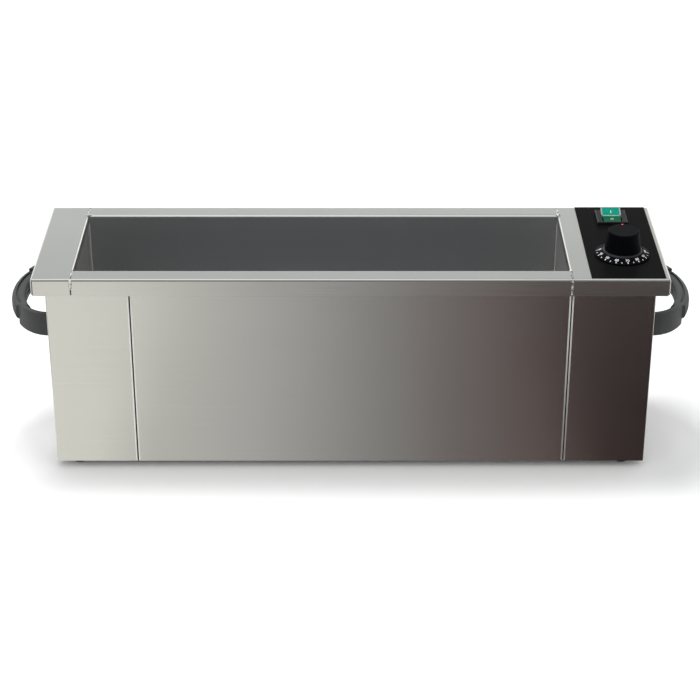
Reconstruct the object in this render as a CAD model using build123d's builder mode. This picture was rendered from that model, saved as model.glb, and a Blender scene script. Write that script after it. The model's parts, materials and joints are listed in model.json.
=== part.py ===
from build123d import *
import math
import os

os.makedirs("parts", exist_ok=True)

# Electric water bath in folded stainless sheet, standing on four feet.
# Origin: centre of the footprint on the ground. X runs along the bath, the operator stands at -Y.

# Driving dimensions, millimetres
rim_length = 800.0
rim_depth = 224.0
total_height = 280.0
apron_height = 23.0
tip_cut = 2.5
sheet = 1.0
bend = 3.0
panel_bend = 1.5
well_left = -349.0
well_right = 276.0
well_width = 170.0
well_drop = 180.0
body_length = 770.0
body_depth = 196.0
foot_height = 10.0
body_bottom = 9.0
panel_joint_x = 279.0
joint_gap = 1.3
return_flange = 10.0

# Places worked out from them
rim_x = rim_length / 2
rim_y = rim_depth / 2
well_y = well_width / 2
well_floor = total_height - well_drop
body_x = body_length / 2
body_y = body_depth / 2
body_top = total_height - sheet
plate_top = total_height
apron_bottom = total_height - apron_height
seam_left = well_left - sheet
seam_right = well_right + sheet
casing_end = panel_joint_x + joint_gap / 2
panel_end = panel_joint_x - joint_gap / 2
base_z = body_bottom + sheet
base_top = base_z + sheet
lip_drop = 12.0
lip_bottom = plate_top - lip_drop

# Handles: a band leg at each end and a rounder grip between them
handle_low = 187.0
handle_high = 218.0
handle_reach = 54.0
handle_half_span = 84.0
handle_band = 6.0
grip_half = 50.0
grip_proud = 3.5
grip_thickness = 18.0
grip_low = 194.0
grip_high = 214.0
leg_boss_depth = 10.5
leg_boss_width = 13.0
leg_boss_low = 189.0
leg_boss_high = 212.0
handle_screw_y = handle_half_span - leg_boss_width / 2
handle_screw_z = (194.5, 206.5)
handle_screw_radius = 2.5
handle_screw_bite = 7.5

# Controls on the right end plate
label_thickness = 0.6
label_left = 301.0
label_right = 394.0
label_front = -108.5
label_back = 110.5
label_top = plate_top + label_thickness
dial_x = 347.0
dial_y = -40.0
skirt_radius = 35.0
knob_height = 35.0
spindle_radius = 3.0
spindle_clearance = 0.06
bush_radius = 5.0
thermostat_screw_offset = 14.0
switch_x = 345.8
switch_y = 72.0
rocker_pivot_z = 282.6
rocker_radius = 18.0
rocker_tilt = 10.8
rocker_half_width = 13.0
rocker_green_half = 11.3
bezel_half_x = 20.0
bezel_half_y = 20.5
bezel_top = 285.0
switch_half_x = 14.6
switch_half_y = 19.0
running_gap = 0.3

# Base and feet
base_screw_x = (-350.0, -121.0, 121.0, 350.0)
base_screw_y = 92.0
base_screw_radius = 1.7
foot_x = 357.0
foot_y = 76.0
foot_radius = 10.5
foot_screw_radius = 2.5

# Heating under the tank
element_radius = 4.0
element_left = -310.0
element_end = 300.0
element_rows = (24.0, 60.0)
clamp_x = (-220.0, 0.0, 220.0)
clamp_stud_y = 42.0
stud_radius = 2.5
bulb_radius = 3.2
reset_x = 330.0
reset_y = 40.0
gland_x = 340.0
gland_z = 40.0
earth_x = 365.0
earth_y = 0.0


def finish(builder, label):
    builder.part.label = label
    export_step(builder.part, f"parts/{label}.step")


def folded(points, plane, depth, inwards, radius=bend):
    """Sheet profile: the outer skin runs through the points and the thickness lies on one side."""
    with BuildSketch(plane, mode=Mode.PRIVATE) as profile:
        with BuildLine():
            FilletPolyline(*points, radius=radius)
            offset(amount=sheet, side=inwards)
        make_face()
    extrude(profile.sketch, amount=depth, dir=plane.z_dir)


def block(low, high, mode=Mode.ADD):
    """Box between two corners."""
    sizes = [b - a for a, b in zip(low, high)]
    with Locations(tuple((a + b) / 2 for a, b in zip(low, high))):
        Box(*sizes, mode=mode)


def rod(start, direction, radius, length, mode=Mode.ADD):
    """Round bar from a point along a direction."""
    with BuildSketch(Plane(origin=start, z_dir=direction), mode=Mode.PRIVATE) as section:
        Circle(radius)
    extrude(section.sketch, amount=length, dir=Vector(*direction), mode=mode)


def hexagon(start, direction, across_flats, length, bore):
    """Hexagon nut with a round hole."""
    with BuildSketch(Plane(origin=start, z_dir=direction), mode=Mode.PRIVATE) as section:
        RegularPolygon(across_flats / 2, 6, major_radius=False)
        Circle(bore, mode=Mode.SUBTRACT)
    extrude(section.sketch, amount=length, dir=Vector(*direction))


def pan_screw(place, direction, head_radius, head_height, radius, length):
    """Screw with its head behind the place and its shank along the direction."""
    back = tuple(p - d * head_height for p, d in zip(place, direction))
    rod(back, direction, head_radius, head_height)
    rod(place, direction, radius, length)


def wire(points, radius, bend_radius):
    """Round tube through the points, straight runs joined by arcs."""
    with BuildLine(mode=Mode.PRIVATE) as path:
        FilletPolyline(*points, radius=bend_radius)
    with BuildSketch(Plane(origin=path.line @ 0, z_dir=path.line % 0), mode=Mode.PRIVATE) as section:
        Circle(radius)
    sweep(section.sketch, path=path.line)


def grid(xs, ys):
    """Every pairing of the given places, both signs of y."""
    return [(x, side * y) for x in xs for y in ys for side in (-1, 1)]


# ---- Tank: one folded strip makes both long flanges, walls and floor; end walls are welded in
with BuildPart() as tank:
    strip = [
        (-rim_y, apron_bottom),
        (-rim_y, plate_top),
        (-well_y, plate_top),
        (-well_y, well_floor),
        (well_y, well_floor),
        (well_y, plate_top),
        (rim_y, plate_top),
        (rim_y, apron_bottom),
    ]
    folded(strip, Plane.YZ.offset(seam_left), seam_right - seam_left, Side.RIGHT)
    for wall_x in (seam_left, well_right):
        block((wall_x, -well_y, well_floor), (wall_x + sheet, well_y, lip_bottom))
finish(tank, "tank")


def rounded_tray(inner_x, outer_x, half_y, top, radius, mode):
    """Solid under the rim's top, rounded at its outer corners and along its outer top edges."""
    with BuildPart(mode=Mode.PRIVATE) as tray:
        with BuildSketch(Plane.XY.offset(apron_bottom)):
            with Locations(((inner_x + outer_x) / 2, 0)):
                Rectangle(abs(outer_x - inner_x), 2 * half_y)
            fillet([corner for corner in vertices() if abs(corner.X - outer_x) < sheet], radius)
        extrude(amount=top - apron_bottom)
        upper = edges().group_by(Axis.Z)[-1]
        fillet([edge for edge in upper if abs(edge.center().X - inner_x) > sheet], radius)
    add(tray.part, mode=mode)


def rim_plate(inner_x, outer_x, lip_x):
    """End plate of the rim: aprons on its three outer sides and a lip folded into the tank."""
    side = math.copysign(1, outer_x)
    rounded_tray(inner_x, outer_x, rim_y, plate_top, bend, Mode.ADD)
    rounded_tray(inner_x, outer_x - side * sheet, rim_y - sheet, body_top, bend - sheet, Mode.SUBTRACT)
    # the tank's opening ends in a rounded edge, so the flat top stops short of it there
    flat_end = lip_x + side * bend
    trim_x = sorted((inner_x, flat_end))
    block((trim_x[0], -well_y, body_top), (trim_x[1], well_y, plate_top), mode=Mode.SUBTRACT)
    lip = [(flat_end + side * bend, plate_top), (lip_x, plate_top), (lip_x, lip_bottom)]
    inwards = Side.RIGHT if side < 0 else Side.LEFT
    with BuildSketch(Plane.XZ.offset(-well_y), mode=Mode.PRIVATE) as profile:
        with BuildLine():
            FilletPolyline(*lip, radius=bend)
            offset(amount=sheet, side=inwards)
        make_face()
    extrude(profile.sketch, amount=well_width, dir=(0, -1, 0))
    # the lower tips of the front and rear aprons are cut off at a slant
    for y_side in (-1, 1):
        with BuildSketch(Plane.XZ.offset(-y_side * rim_y), mode=Mode.PRIVATE) as tip:
            with BuildLine():
                corner = (outer_x, apron_bottom)
                along = (outer_x - side * tip_cut, apron_bottom)
                Polyline(corner, (outer_x, apron_bottom + 2 * tip_cut), along, close=True)
            make_face()
        extrude(tip.sketch, amount=tip_cut, dir=(0, -y_side, 0), mode=Mode.SUBTRACT)


with BuildPart() as left_rim_plate:
    rim_plate(seam_left, -rim_x, well_left)
finish(left_rim_plate, "left_rim_plate")

with BuildPart() as right_rim_plate:
    rim_plate(seam_right, rim_x, well_right)
    rod((dial_x, dial_y, body_top), (0, 0, 1), bush_radius, sheet, mode=Mode.SUBTRACT)
    for side in (-1, 1):
        screw_x = dial_x + side * thermostat_screw_offset
        rod((screw_x, dial_y, body_top), (0, 0, 1), 2.0, sheet, mode=Mode.SUBTRACT)
    cut_low = (switch_x - switch_half_x, switch_y - switch_half_y, body_top)
    block(cut_low, (switch_x + switch_half_x, switch_y + switch_half_y, plate_top), mode=Mode.SUBTRACT)
finish(right_rim_plate, "right_rim_plate")


# ---- Body: two U-shaped end casings, and a front and a rear panel between them
def end_casing(side):
    """Casing folded round one end, with return flanges at the joints and a flange at the bottom."""
    points = [
        (side * casing_end, -body_y + return_flange),
        (side * casing_end, -body_y),
        (side * body_x, -body_y),
        (side * body_x, body_y),
        (side * casing_end, body_y),
        (side * casing_end, body_y - return_flange),
    ]
    inwards = Side.LEFT if side > 0 else Side.RIGHT
    folded(points, Plane.XY.offset(body_bottom), body_top - body_bottom, inwards, panel_bend)
    flange_x = sorted((side * (casing_end + sheet), side * (body_x - sheet)))
    inside_x = sorted((side * (casing_end + sheet), side * (body_x - return_flange)))
    flange_y = body_y - sheet
    inside_y = body_y - return_flange
    with BuildSketch(Plane.XY.offset(body_bottom), mode=Mode.PRIVATE) as flange:
        with Locations((sum(flange_x) / 2, 0)):
            Rectangle(flange_x[1] - flange_x[0], 2 * flange_y)
        with Locations((sum(inside_x) / 2, 0)):
            Rectangle(inside_x[1] - inside_x[0], 2 * inside_y, mode=Mode.SUBTRACT)
    extrude(flange.sketch, amount=sheet)
    for screw_x, screw_y in grid(base_screw_x, [base_screw_y]):
        if screw_x * side > panel_joint_x:
            rod((screw_x, screw_y, body_bottom), (0, 0, 1), base_screw_radius, sheet, mode=Mode.SUBTRACT)
    for screw_y in (-handle_screw_y, handle_screw_y):
        for screw_z in handle_screw_z:
            hole = (side * (body_x - sheet), screw_y, screw_z)
            rod(hole, (side, 0, 0), handle_screw_radius, sheet, mode=Mode.SUBTRACT)


with BuildPart() as left_end_casing:
    end_casing(-1)
finish(left_end_casing, "left_end_casing")

gland_thread_radius = 8.0
with BuildPart() as right_end_casing:
    end_casing(1)
    rod((gland_x, body_y - sheet, gland_z), (0, 1, 0), gland_thread_radius, sheet, mode=Mode.SUBTRACT)
finish(right_end_casing, "right_end_casing")


def long_panel(side):
    """Front or rear panel with return flanges at both joints and a flange at the bottom."""
    points = [
        (-panel_end, side * (body_y - return_flange)),
        (-panel_end, side * body_y),
        (panel_end, side * body_y),
        (panel_end, side * (body_y - return_flange)),
    ]
    inwards = Side.LEFT if side < 0 else Side.RIGHT
    folded(points, Plane.XY.offset(body_bottom), body_top - body_bottom, inwards, panel_bend)
    rows = sorted((side * (body_y - sheet), side * (body_y - return_flange)))
    reach = panel_end - sheet
    block((-reach, rows[0], body_bottom), (reach, rows[1], base_z))
    for screw_x in base_screw_x:
        if abs(screw_x) < panel_end:
            place = (screw_x, side * base_screw_y, body_bottom)
            rod(place, (0, 0, 1), base_screw_radius, sheet, mode=Mode.SUBTRACT)


with BuildPart() as front_panel:
    long_panel(-1)
finish(front_panel, "front_panel")

with BuildPart() as rear_panel:
    long_panel(1)
finish(rear_panel, "rear_panel")

# ---- Base plate on the flanges, with screw holes, cooling slots and the limiter's hole
limiter_thread_radius = 5.0
slot_length = 30.0
slot_width = 3.0
slot_pitch = 8.0
slot_count = 7
base_fit = 0.5
with BuildPart() as base_plate:
    reach_x = body_x - sheet - base_fit
    reach_y = body_y - sheet - base_fit
    block((-reach_x, -reach_y, base_z), (reach_x, reach_y, base_top))
    for screw_x, screw_y in grid(base_screw_x, [base_screw_y]):
        rod((screw_x, screw_y, base_z), (0, 0, 1), base_screw_radius, sheet, mode=Mode.SUBTRACT)
    for screw_x, screw_y in grid((-foot_x, foot_x), [foot_y]):
        rod((screw_x, screw_y, base_z), (0, 0, 1), foot_screw_radius, sheet, mode=Mode.SUBTRACT)
    rod((reset_x, reset_y, base_z), (0, 0, 1), limiter_thread_radius, sheet, mode=Mode.SUBTRACT)
    rod((earth_x, earth_y, base_z), (0, 0, 1), foot_screw_radius, sheet, mode=Mode.SUBTRACT)
    with BuildSketch(Plane.XY.offset(base_z)) as slots:
        with GridLocations(2 * panel_joint_x - 2 * slot_length, slot_pitch, 2, slot_count):
            SlotOverall(slot_length, slot_width)
    extrude(amount=sheet, mode=Mode.SUBTRACT)
    # the flanges' return ends pass the plate's edge, so it is notched at the four joints
    for joint_x, joint_y in grid((-panel_joint_x, panel_joint_x), [body_y - return_flange / 2]):
        notch_half = joint_gap / 2 + sheet + base_fit
        low = (joint_x - notch_half, joint_y - return_flange / 2 - base_fit, base_z)
        high = (joint_x + notch_half, joint_y + return_flange / 2, base_top)
        block(low, high, mode=Mode.SUBTRACT)
finish(base_plate, "base_plate")

base_screw_head = 3.5
base_screw_head_height = 2.4
with BuildPart() as base_screws:
    for screw_x, screw_y in grid(base_screw_x, [base_screw_y]):
        place = (screw_x, screw_y, body_bottom)
        pan_screw(place, (0, 0, 1), base_screw_head, base_screw_head_height, base_screw_radius, 6.0)
    fillet(edges().filter_by(GeomType.CIRCLE).group_by(Axis.Z)[0], 1.2)
finish(base_screws, "base_screws")

foot_recess_radius = 6.0
foot_recess_height = 5.0
with BuildPart() as feet:
    with BuildSketch() as pads:
        with GridLocations(2 * foot_x, 2 * foot_y, 2, 2):
            Circle(foot_radius)
    extrude(amount=foot_height, taper=4)
    for place in grid((-foot_x, foot_x), [foot_y]):
        rod((*place, 0), (0, 0, 1), foot_recess_radius, foot_recess_height, mode=Mode.SUBTRACT)
        rod((*place, 0), (0, 0, 1), foot_screw_radius, foot_height, mode=Mode.SUBTRACT)
finish(feet, "feet")

with BuildPart() as foot_screws:
    for place in grid((-foot_x, foot_x), [foot_y]):
        shank = foot_height - foot_recess_height + 8.0
        pan_screw((*place, foot_recess_height), (0, 0, 1), 4.5, 3.0, foot_screw_radius, shank)
finish(foot_screws, "foot_screws")

with BuildPart() as foot_nuts:
    for place in grid((-foot_x, foot_x), [foot_y]):
        hexagon((*place, base_top), (0, 0, 1), 8.0, 4.0, foot_screw_radius)
finish(foot_nuts, "foot_nuts")


# ---- Handles
def bow(low, high, outer, inner, keep_middle):
    """Slice of a half-elliptical bow: its two leg ends, or the grip between them."""
    with BuildSketch(Plane.XY.offset(low), mode=Mode.PRIVATE) as plan:
        with Locations((-body_x, 0)):
            Ellipse(*outer)
            Ellipse(*inner, mode=Mode.SUBTRACT)
        with Locations((-body_x - outer[0] / 2, 0)):
            Rectangle(outer[0], 2 * outer[1], mode=Mode.INTERSECT)
        with Locations((-body_x, 0)):
            middle_mode = Mode.INTERSECT if keep_middle else Mode.SUBTRACT
            Rectangle(4 * outer[0], 2 * grip_half, mode=middle_mode)
    return extrude(plan.sketch, amount=high - low)


def handle_shape():
    """Left bow handle against the end casing."""
    legs_outer = (handle_reach, handle_half_span)
    legs_inner = (handle_reach - handle_band, handle_half_span - handle_band)
    grip_outer = (handle_reach + grip_proud, handle_half_span + grip_proud)
    grip_inner = (grip_outer[0] - grip_thickness, grip_outer[1] - grip_thickness)
    groove_outer = (grip_outer[0] - 5.5, grip_outer[1] - 5.5)
    groove_inner = (grip_outer[0] - 9.0, grip_outer[1] - 9.0)
    bow(grip_low, grip_high, grip_outer, grip_inner, True)
    grip_edges = edges().filter_by(GeomType.ELLIPSE)
    fillet(grip_edges, 4.5)
    bow(handle_low, handle_high, legs_outer, legs_inner, False)
    for side in (-1, 1):
        rows = sorted((side * handle_half_span, side * (handle_half_span - leg_boss_width)))
        low = (-body_x - leg_boss_depth, rows[0] + 1, leg_boss_low)
        block(low, (-body_x, rows[1] - 1, leg_boss_high))
    with BuildSketch(Plane.XY.offset(grip_high - 2.5), mode=Mode.PRIVATE) as groove:
        with Locations((-body_x, 0)):
            Ellipse(*groove_outer)
            Ellipse(*groove_inner, mode=Mode.SUBTRACT)
            Rectangle(4 * handle_reach, 2 * grip_half - 8, mode=Mode.INTERSECT)
        with Locations((-body_x - handle_reach, 0)):
            Rectangle(2 * handle_reach, 2 * grip_half, mode=Mode.INTERSECT)
    extrude(groove.sketch, amount=4, mode=Mode.SUBTRACT)
    for screw_y in (-handle_screw_y, handle_screw_y):
        for screw_z in handle_screw_z:
            hole = (-body_x, screw_y, screw_z)
            rod(hole, (-1, 0, 0), handle_screw_radius, handle_screw_bite + 0.5, mode=Mode.SUBTRACT)


with BuildPart() as left_handle:
    handle_shape()
finish(left_handle, "left_handle")

with BuildPart() as right_handle:
    mirror(left_handle.part, about=Plane.YZ)
finish(right_handle, "right_handle")

with BuildPart() as handle_screws:
    for side in (-1, 1):
        for screw_y in (-handle_screw_y, handle_screw_y):
            for screw_z in handle_screw_z:
                place = (side * (body_x - sheet), screw_y, screw_z)
                pan_screw(place, (side, 0, 0), 4.5, 3.0, handle_screw_radius, sheet + handle_screw_bite)
finish(handle_screws, "handle_screws")

# ---- Control label
with BuildPart() as control_label:
    block((label_left, label_front, plate_top), (label_right, label_back, label_top))
    rod((dial_x, dial_y, plate_top), (0, 0, 1), bush_radius, label_thickness, mode=Mode.SUBTRACT)
    for side in (-1, 1):
        place = (dial_x + side * thermostat_screw_offset, dial_y, plate_top)
        rod(place, (0, 0, 1), 4.0, label_thickness, mode=Mode.SUBTRACT)
    cut_low = (switch_x - switch_half_x, switch_y - switch_half_y, plate_top)
    block(cut_low, (switch_x + switch_half_x, switch_y + switch_half_y, label_top), mode=Mode.SUBTRACT)
finish(control_label, "control_label")

# ---- Rocker switch
pin_reach = 16.0
pin_radius = 1.4
switch_floor = 269.0
switch_bottom = 247.0
window_half_x = rocker_half_width + running_gap
window_half_y = rocker_radius + running_gap
with BuildPart() as switch_bezel:
    low = (switch_x - bezel_half_x, switch_y - bezel_half_y, label_top)
    block(low, (switch_x + bezel_half_x, switch_y + bezel_half_y, bezel_top))
    chamfer(edges().group_by(Axis.Z)[-1], 0.8)
    low = (switch_x - window_half_x, switch_y - window_half_y, label_top)
    high = (switch_x + window_half_x, switch_y + window_half_y, bezel_top)
    block(low, high, mode=Mode.SUBTRACT)
    for side in (-1, 1):
        for step in (0, 1, 2):
            rib_x = switch_x + side * (window_half_x + 1.2 + 1.6 * step)
            low = (rib_x - 0.4, switch_y - bezel_half_y + 1.5, bezel_top - 0.5)
            block(low, (rib_x + 0.4, switch_y + bezel_half_y - 1.5, bezel_top), mode=Mode.SUBTRACT)
    bore = (switch_x - pin_reach - 0.2, switch_y, rocker_pivot_z)
    rod(bore, (1, 0, 0), pin_radius + 0.06, 2 * pin_reach + 0.4, mode=Mode.SUBTRACT)
finish(switch_bezel, "switch_bezel")

with BuildPart() as switch_body:
    low = (switch_x - switch_half_x, switch_y - switch_half_y, switch_bottom)
    block(low, (switch_x + switch_half_x, switch_y + switch_half_y, label_top))
    low = (switch_x - window_half_x, switch_y - window_half_y, switch_floor)
    high = (switch_x + window_half_x, switch_y + window_half_y, label_top)
    block(low, high, mode=Mode.SUBTRACT)
finish(switch_body, "switch_body")

with BuildPart() as switch_terminals:
    for blade_y in (-12.0, 0.0, 12.0):
        low = (switch_x - 3.2, switch_y + blade_y - 0.4, switch_bottom - 8)
        block(low, (switch_x + 3.2, switch_y + blade_y + 0.4, switch_bottom))
finish(switch_terminals, "switch_terminals")

tilt = math.radians(rocker_tilt)
rocker_side = Plane(
    origin=(switch_x, switch_y, rocker_pivot_z),
    x_dir=(0, math.cos(tilt), math.sin(tilt)),
    z_dir=(1, 0, 0),
)
rocker_crown = 2.4
rocker_rise = rocker_radius * math.tan(tilt)
rocker_depth = 8.0
rear_border = 1.8


def rocker_slice(half_width, low_y, high_y, radius):
    """Rocker profile between two places along its length, with round ends about the pivot."""
    with BuildSketch(rocker_side, mode=Mode.PRIVATE) as profile:
        with BuildLine():
            Polyline(
                (-rocker_radius, -rocker_depth),
                (rocker_radius, -rocker_depth),
                (rocker_radius, rocker_crown + rocker_rise),
                (0, rocker_crown),
                (-rocker_radius, rocker_crown + rocker_rise),
                close=True,
            )
        make_face()
        Circle(radius, mode=Mode.INTERSECT)
        with Locations(((low_y + high_y) / 2, 0)):
            Rectangle(high_y - low_y, 4 * rocker_radius, mode=Mode.INTERSECT)
    extrude(profile.sketch, amount=half_width, both=True)


with BuildPart() as switch_rocker:
    rocker_slice(rocker_green_half, -rocker_radius, 0, rocker_radius)
    rocker_slice(rocker_green_half, 0, rocker_radius, rocker_radius - rear_border)
    rod((switch_x - pin_reach, switch_y, rocker_pivot_z), (1, 0, 0), pin_radius, 2 * pin_reach)
finish(switch_rocker, "switch_rocker")

with BuildPart() as rocker_frame:
    rocker_slice(rocker_half_width, pin_radius + 0.4, rocker_radius, rocker_radius)
    with BuildSketch(rocker_side, mode=Mode.PRIVATE) as inner:
        Circle(rocker_radius - rear_border)
    extrude(inner.sketch, amount=rocker_green_half, both=True, mode=Mode.SUBTRACT)
finish(rocker_frame, "rocker_frame")

# ---- Thermostat knob with its conical numbered skirt, and the capillary thermostat below it
knob_top = plate_top + knob_height
skirt_gap = 0.8
skirt_low = label_top + skirt_gap
knob_root = 25.2
knob_waist = 22.6
knob_crown = 19.9
hub_radius = 7.0
spindle_top = knob_top - 8.0
dial_plane = Plane(origin=(dial_x, dial_y, 0), x_dir=(1, 0, 0), z_dir=(0, -1, 0))
dial_axis = Axis((dial_x, dial_y, 0), (0, 0, 1))
with BuildPart() as thermostat_knob:
    with BuildSketch(dial_plane) as half_section:
        with BuildLine():
            rim_edge = Line((skirt_radius, skirt_low), (skirt_radius, skirt_low + 1.2))
            cone = Line(rim_edge @ 1, (knob_root, skirt_low + 5.8))
            flare_middle = (knob_waist + 0.7, skirt_low + 7.6)
            flare = ThreePointArc(cone @ 1, flare_middle, (knob_waist, skirt_low + 10.5))
            flank = Line(flare @ 1, (knob_crown, knob_top - 1))
            corner = Line(flank @ 1, (knob_crown - 1, knob_top))
            Polyline(
                corner @ 1,
                (0, knob_top),
                (0, skirt_low + 2),
                (hub_radius, skirt_low + 2),
                (hub_radius, knob_top - 4),
                (knob_crown - 2.5, knob_top - 4),
                (knob_waist - 2.5, skirt_low + 9),
                (knob_root - 2, skirt_low + 4),
                (skirt_radius - 2, skirt_low),
                rim_edge @ 0,
            )
        make_face()
    revolve(axis=dial_axis)
    rod((dial_x, dial_y, skirt_low), (0, 0, 1), spindle_radius, spindle_top - skirt_low, mode=Mode.SUBTRACT)
finish(thermostat_knob, "thermostat_knob")

dot_radius = 1.3
with BuildPart() as knob_index_dot:
    rod((dial_x, dial_y + knob_crown - 2.6, knob_top), (0, 0, 1), dot_radius, 0.3)
finish(knob_index_dot, "knob_index_dot")

thermostat_half_x = 23.0
thermostat_half_y = 20.0
thermostat_low = 251.0
spindle_low = 262.0
with BuildPart() as thermostat_body:
    low = (dial_x - thermostat_half_x, dial_y - thermostat_half_y, thermostat_low)
    block(low, (dial_x + thermostat_half_x, dial_y + thermostat_half_y, body_top))
    fillet(edges().filter_by(Axis.Z), 4)
    rod((dial_x, dial_y, body_top), (0, 0, 1), bush_radius, 1.6)
    bore_radius = spindle_radius + spindle_clearance
    rod((dial_x, dial_y, spindle_low - 0.2), (0, 0, 1), bore_radius, 30, mode=Mode.SUBTRACT)
    for side in (-1, 1):
        place = (dial_x + side * thermostat_screw_offset, dial_y, body_top)
        rod(place, (0, 0, -1), 2.0, 8, mode=Mode.SUBTRACT)
finish(thermostat_body, "thermostat_body")

with BuildPart() as thermostat_spindle:
    rod((dial_x, dial_y, spindle_low), (0, 0, 1), spindle_radius, spindle_top - spindle_low)
finish(thermostat_spindle, "thermostat_spindle")

with BuildPart() as thermostat_screws:
    for side in (-1, 1):
        place = (dial_x + side * thermostat_screw_offset, dial_y, plate_top)
        pan_screw(place, (0, 0, -1), 3.2, 1.8, 2.0, 8)
finish(thermostat_screws, "thermostat_screws")

# ---- Heating elements clamped to the underside of the tank floor
floor_under = well_floor - sheet
element_z = floor_under - element_radius
element_bend = (element_rows[1] - element_rows[0]) / 2 - 0.1
pin_length = 8.0
pin_thickness = 1.6
for side, label in ((-1, "front_heating_element"), (1, "rear_heating_element")):
    with BuildPart() as heating_element:
        near = side * element_rows[0]
        far = side * element_rows[1]
        route = [
            (element_end, near, element_z),
            (element_left, near, element_z),
            (element_left, far, element_z),
            (element_end, far, element_z),
        ]
        wire(route, element_radius, element_bend)
    finish(heating_element, label)

with BuildPart() as element_terminals:
    for place_x, place_y in grid([element_end], element_rows):
        rod((place_x, place_y, element_z), (1, 0, 0), pin_thickness, pin_length)
finish(element_terminals, "element_terminals")

clamp_top = floor_under - 2 * element_radius
clamp_thickness = 3.0
with BuildPart() as element_clamps:
    for bar_x in clamp_x:
        block((bar_x - 10, -70, clamp_top - clamp_thickness), (bar_x + 10, 70, clamp_top))
    for place in grid(clamp_x, [clamp_stud_y]):
        rod((*place, clamp_top), (0, 0, -1), stud_radius, clamp_thickness, mode=Mode.SUBTRACT)
finish(element_clamps, "element_clamps")

stud_length = 17.0
with BuildPart() as clamp_studs:
    for place in grid(clamp_x, [clamp_stud_y]):
        rod((*place, floor_under), (0, 0, -1), stud_radius, stud_length)
finish(clamp_studs, "clamp_studs")

with BuildPart() as clamp_nuts:
    for place in grid(clamp_x, [clamp_stud_y]):
        hexagon((*place, clamp_top - clamp_thickness), (0, 0, -1), 8.0, 4.0, stud_radius)
finish(clamp_nuts, "clamp_nuts")

# ---- Heat shield standing on the base, with an insulation mat on top
shield_left = -335.0
shield_right = 262.0
shield_y = 84.0
shield_top = 61.0
mat_top = 80.0
with BuildPart() as heat_shield:
    hat = [(-shield_y, base_top), (-shield_y, shield_top), (shield_y, shield_top), (shield_y, base_top)]
    folded(hat, Plane.YZ.offset(shield_left), shield_right - shield_left, Side.RIGHT)
finish(heat_shield, "heat_shield")

with BuildPart() as insulation_mat:
    low = (shield_left + 2, -shield_y + 2, shield_top)
    block(low, (shield_right - 2, shield_y - 2, mat_top))
    fillet(edges().filter_by(Axis.Z), 3)
finish(insulation_mat, "insulation_mat")

# ---- Sensing bulbs under the floor, each with its capillary tube
bulb_y = 8.0
bulb_end = 262.0
bulb_length = 110.0
bulb_z = floor_under - bulb_radius
limiter_top = 45.0
capillary_radius = 1.0
with BuildPart() as thermostat_bulb:
    rod((bulb_end, -bulb_y, bulb_z), (-1, 0, 0), bulb_radius, bulb_length)
    fillet(edges().group_by(Axis.X)[0], 2)
finish(thermostat_bulb, "thermostat_bulb")

with BuildPart() as thermostat_capillary:
    route = [
        (dial_x, dial_y + 12, thermostat_low),
        (dial_x, dial_y + 12, 140),
        (310, -bulb_y, bulb_z),
        (bulb_end, -bulb_y, bulb_z),
    ]
    wire(route, capillary_radius, 12)
finish(thermostat_capillary, "thermostat_capillary")

with BuildPart() as limiter_bulb:
    rod((bulb_end, bulb_y, bulb_z), (-1, 0, 0), bulb_radius, bulb_length)
    fillet(edges().group_by(Axis.X)[0], 2)
finish(limiter_bulb, "limiter_bulb")

with BuildPart() as limiter_capillary:
    route = [
        (reset_x - 4, reset_y - 4, limiter_top),
        (reset_x - 4, reset_y - 4, 75),
        (300, bulb_y, bulb_z),
        (bulb_end, bulb_y, bulb_z),
    ]
    wire(route, capillary_radius, 12)
finish(limiter_capillary, "limiter_capillary")

# ---- Safety limiter on the base, reset from below
button_radius = 3.5
button_clearance = 0.1
button_low = 5.0
button_length = 15.0
limiter_radius = 12.5
limiter_bush_low = 7.0
with BuildPart() as safety_limiter:
    rod((reset_x, reset_y, base_top), (0, 0, 1), limiter_radius, limiter_top - base_top)
    rod((reset_x, reset_y, limiter_bush_low), (0, 0, 1), limiter_thread_radius, base_top - limiter_bush_low)
    shaft = (reset_x, reset_y, limiter_bush_low)
    rod(shaft, (0, 0, 1), button_radius + button_clearance, 17, mode=Mode.SUBTRACT)
finish(safety_limiter, "safety_limiter")

with BuildPart() as limiter_nut:
    hexagon((reset_x, reset_y, base_z), (0, 0, -1), 14.0, 2.5, limiter_thread_radius)
finish(limiter_nut, "limiter_nut")

with BuildPart() as reset_button:
    rod((reset_x, reset_y, button_low), (0, 0, 1), button_radius, button_length)
    fillet(edges().group_by(Axis.Z)[0], 0.8)
finish(reset_button, "reset_button")

# ---- Terminals, earth stud, wiring and cable gland in the right end casing
block_left = 305.0
block_front = -64.0
block_top = 29.0
with BuildPart() as terminal_block:
    block((block_left, block_front, base_top), (block_left + 50, block_front + 22, block_top))
    for step in range(1, 4):
        groove_x = block_left + 12.5 * step
        low = (groove_x - 0.8, block_front, block_top - 5)
        block(low, (groove_x + 0.8, block_front + 22, block_top), mode=Mode.SUBTRACT)
finish(terminal_block, "terminal_block")

with BuildPart() as earth_stud:
    rod((earth_x, earth_y, limiter_bush_low), (0, 0, 1), foot_screw_radius, 24)
finish(earth_stud, "earth_stud")

with BuildPart() as earth_nuts:
    hexagon((earth_x, earth_y, base_z), (0, 0, -1), 8.0, 2.5, foot_screw_radius)
    hexagon((earth_x, earth_y, base_top), (0, 0, 1), 8.0, 4.0, foot_screw_radius)
finish(earth_nuts, "earth_nuts")

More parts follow.
